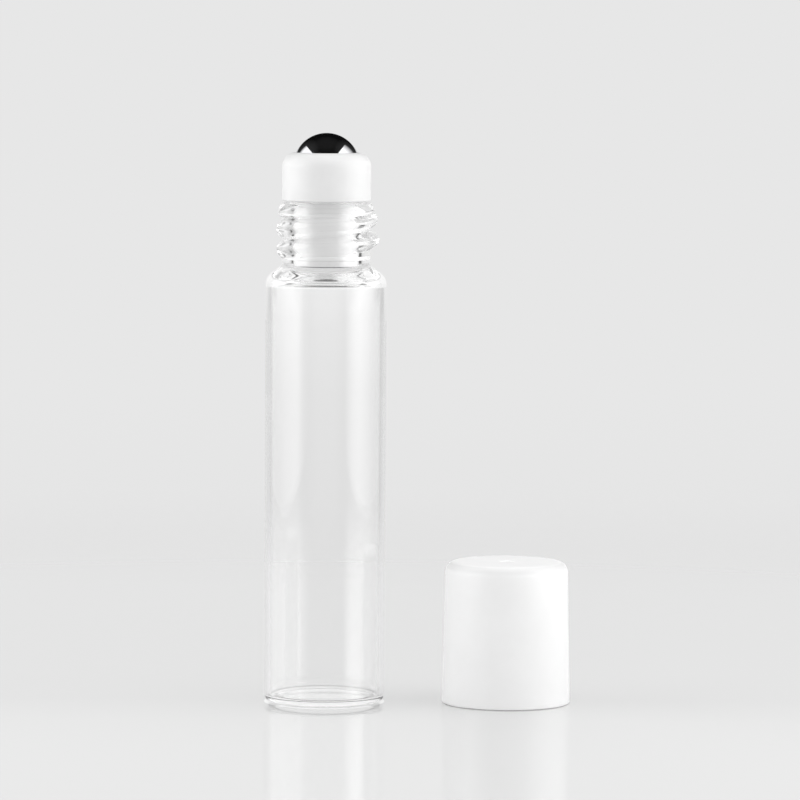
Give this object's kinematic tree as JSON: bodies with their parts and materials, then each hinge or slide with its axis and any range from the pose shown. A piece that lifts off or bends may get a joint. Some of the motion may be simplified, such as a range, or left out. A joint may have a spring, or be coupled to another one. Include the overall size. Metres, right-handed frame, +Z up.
{
  "type": "roll-on bottle",
  "caption": "Clear glass roll-on vial with a steel ball in a white press-in fitment, and its white screw cap standing beside it.",
  "frame": {"origin": "on the bottle's axis, in the plane of the foot ring that it stands on", "axes": "+Z up along the bottle's axis, +X towards the cap that stands beside the bottle, -Y towards the viewer of the picture"},
  "size_m": [0.0457, 0.019, 0.085],
  "materials": {
    "clear_glass": "clear tubular glass, flame-worked neck and base",
    "housing_white": "moulded natural-white polyethylene, satin",
    "ball_steel": "ground and polished stainless steel",
    "cap_white": "moulded white polypropylene, semi-gloss",
    "liner_natural": "soft natural polyethylene"
  },
  "bodies": {
    "bottle": {"glass_bottle": "clear_glass", "ball_housing": "housing_white"},
    "ball": {"roller_ball": "ball_steel"},
    "cap": {"cap_shell": "cap_white", "cap_liner": "liner_natural"}
  },
  "joints": [
    {"name": "ball_roll", "type": "hinge", "parent": "bottle", "child": "ball", "pos_m": [0, 0, 0.0799], "axis": [1, 0, 0], "continuous": true},
    {"name": "cap_lift", "type": "slide", "parent": "bottle", "child": "cap", "axis": [0, 0, 1], "range_m": [0, 0.09]}
  ]
}
